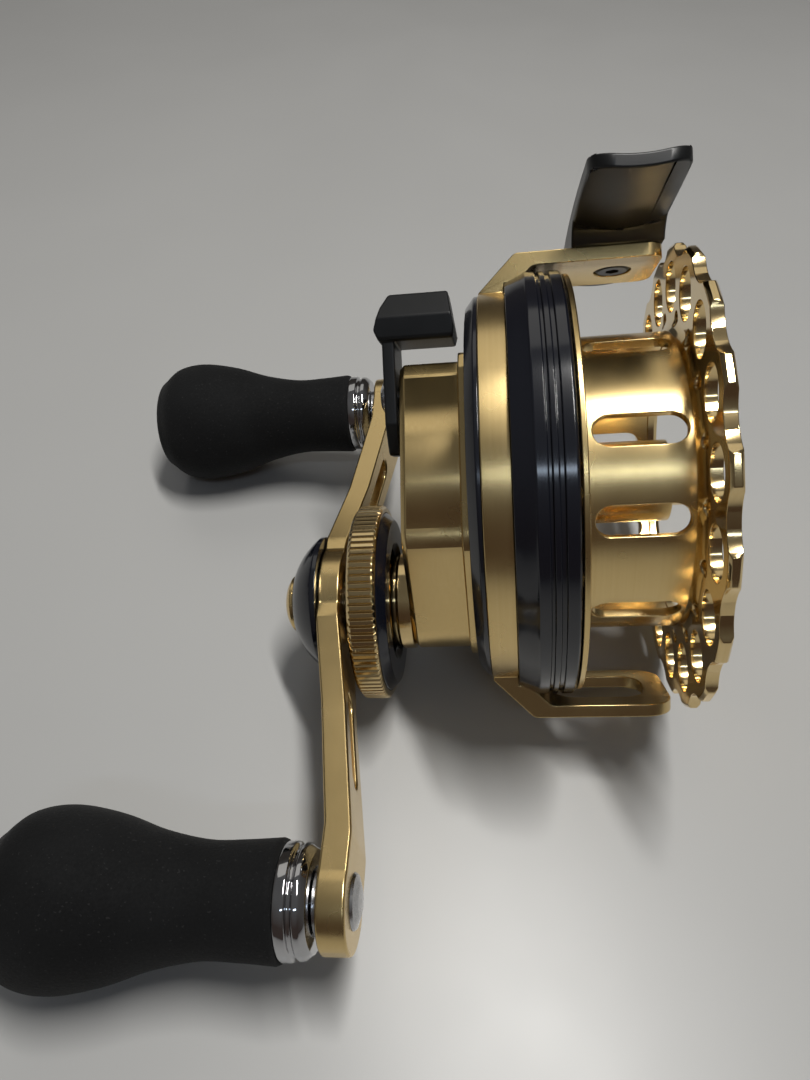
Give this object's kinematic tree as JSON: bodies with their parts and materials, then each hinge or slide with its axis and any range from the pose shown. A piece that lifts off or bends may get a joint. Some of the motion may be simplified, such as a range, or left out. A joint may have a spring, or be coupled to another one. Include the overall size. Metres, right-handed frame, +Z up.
{
  "type": "baitcasting reel",
  "caption": "Geared single-sided fishing reel with a scalloped, drilled spool, double handle, knurled drag wheel, clutch lever and slim rod foot.",
  "frame": {"origin": "centre of the bounding box's base, on the table that the reel rests on with its two knobs and its side ring", "axes": "+Z up from the table; +Y along the handle arm; +X from the handle side towards the spool side, 7.75 degrees below the spool's axis"},
  "size_m": [0.0938, 0.1116, 0.0786],
  "materials": {
    "gold_anodised": "satin gold anodised",
    "black_anodised": "gloss black anodised",
    "black_plastic": "satin moulded",
    "foam": "matte closed-cell foam",
    "chrome": "polished",
    "steel": "turned",
    "brass": "cut teeth",
    "drag_fibre": "woven fibre disc"
  },
  "bodies": {
    "reel_frame": {"frame": "gold_anodised", "reel_foot": "black_anodised", "foot_screw": "black_anodised", "side_ring": "black_anodised", "gear_cover": "black_anodised", "rim_cover": "black_anodised", "gear_housing": "gold_anodised", "housing_screws": "black_anodised", "housing_base": "gold_anodised", "bearing_sleeve": "gold_anodised", "sleeve_bearing": "steel", "tail_bearing": "steel", "one_way_bearing": "steel", "one_way_rollers": "steel", "spindle": "steel", "spindle_nut": "gold_anodised", "yoke_posts": "steel", "yoke_springs": "steel"},
    "handle_group": {"handle_arm": "gold_anodised", "drive_shaft": "steel", "drive_gear": "brass", "thrust_tube": "steel", "pressure_plate": "steel", "drag_washers": "drag_fibre", "keyed_plate": "steel", "spring_washers": "steel", "handle_nut": "steel", "hub_cap": "black_anodised", "cap_screw": "gold_anodised", "knob_pin_a": "steel", "knob_pin_b": "steel"},
    "drag_wheel_group": {"drag_wheel": "gold_anodised", "wheel_liner": "black_anodised"},
    "knob_a": {"knob_grip_a": "foam", "knob_core_a": "black_plastic", "knob_collar_a": "chrome", "knob_bearings_a": "steel"},
    "knob_b": {"knob_grip_b": "foam", "knob_core_b": "black_plastic", "knob_collar_b": "chrome", "knob_bearings_b": "steel"},
    "lever_group": {"clutch_lever": "black_plastic", "lever_screw": "steel", "lever_shaft": "steel"},
    "yoke_group": {"clutch_yoke": "black_plastic"},
    "pinion_group": {"pinion": "brass"},
    "spool_group": {"spool_drum": "gold_anodised", "spool_flange": "gold_anodised", "spool_bearings": "steel", "drive_dog": "steel"}
  },
  "joints": [
    {"name": "handle_turn", "type": "hinge", "parent": "reel_frame", "child": "handle_group", "pos_m": [0.00705, 0, 0.01738], "axis": [0.9909, 0, 0.1349], "continuous": true},
    {"name": "drag_wheel_turn", "type": "hinge", "parent": "handle_group", "child": "drag_wheel_group", "pos_m": [-0.00187, 0, 0.01617], "axis": [0.9909, 0, 0.1349], "range_deg": [-180, 180]},
    {"name": "knob_a_spin", "type": "hinge", "parent": "handle_group", "child": "knob_a", "pos_m": [-0.02268, 0.04465, 0.01334], "axis": [0.9909, 0, 0.1349], "continuous": true},
    {"name": "knob_b_spin", "type": "hinge", "parent": "handle_group", "child": "knob_b", "pos_m": [-0.02268, -0.04465, 0.01334], "axis": [0.9909, 0, 0.1349], "continuous": true},
    {"name": "clutch_lever_turn", "type": "hinge", "parent": "reel_frame", "child": "lever_group", "pos_m": [-0.00016, 0.01963, 0.04071], "axis": [0.9909, 0, 0.1349], "range_deg": [0, 22]},
    {"name": "yoke_slide", "type": "slide", "parent": "reel_frame", "child": "yoke_group", "axis": [0.9909, 0, 0.1349], "range_m": [-0.0014, 0], "deforming": ["yoke_springs"]},
    {"name": "pinion_spin", "type": "hinge", "parent": "yoke_group", "child": "pinion_group", "pos_m": [0.02038, 0.01235, 0.03062], "axis": [0.9909, 0, 0.1349], "continuous": true},
    {"name": "spool_spin", "type": "hinge", "parent": "reel_frame", "child": "spool_group", "pos_m": [0.03327, 0.01235, 0.03237], "axis": [0.9909, 0, 0.1349], "continuous": true}
  ],
  "couplings": [
    {"joint": "spool_spin", "follows": "handle_turn", "ratio": -2.5263},
    {"joint": "pinion_spin", "follows": "handle_turn", "ratio": -2.5263},
    {"joint": "yoke_slide", "follows": "clutch_lever_turn", "m_per_rad": -0.0036461}
  ]
}
